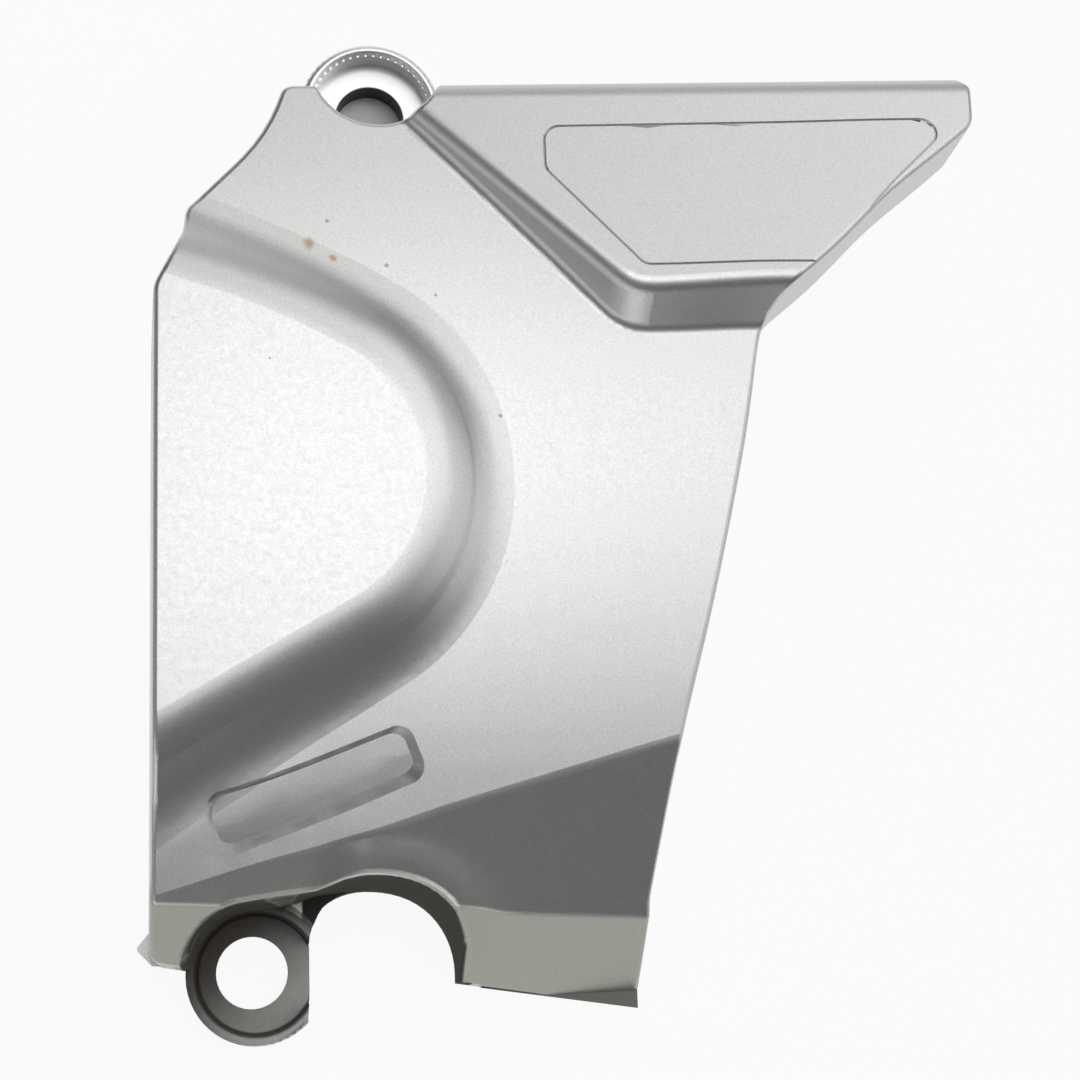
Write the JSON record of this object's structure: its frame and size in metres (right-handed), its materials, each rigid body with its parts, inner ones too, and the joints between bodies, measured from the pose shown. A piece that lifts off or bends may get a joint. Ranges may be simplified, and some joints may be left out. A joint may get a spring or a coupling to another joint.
{
  "type": "motorcycle sprocket cover",
  "caption": "Hollow cast-aluminium cover for a motorcycle's drive sprocket, with counterbored bolt bosses, a raised bulge, a raised wing and a notch that clears the shift shaft.",
  "frame": {"origin": "axis of the lower bolt hole, on the joint face that meets the crankcase", "axes": "+Z out of the outer side, along the bolts; +Y up along the straight front edge; +X to the rear of the motorcycle"},
  "size_m": [0.1272, 0.1556, 0.0353],
  "materials": {
    "painted_casting": "satin silver paint over cast aluminium, bare metal on the bolt seats"
  },
  "bodies": {
    "root": {"sprocket_cover": "painted_casting"}
  },
  "joints": []
}
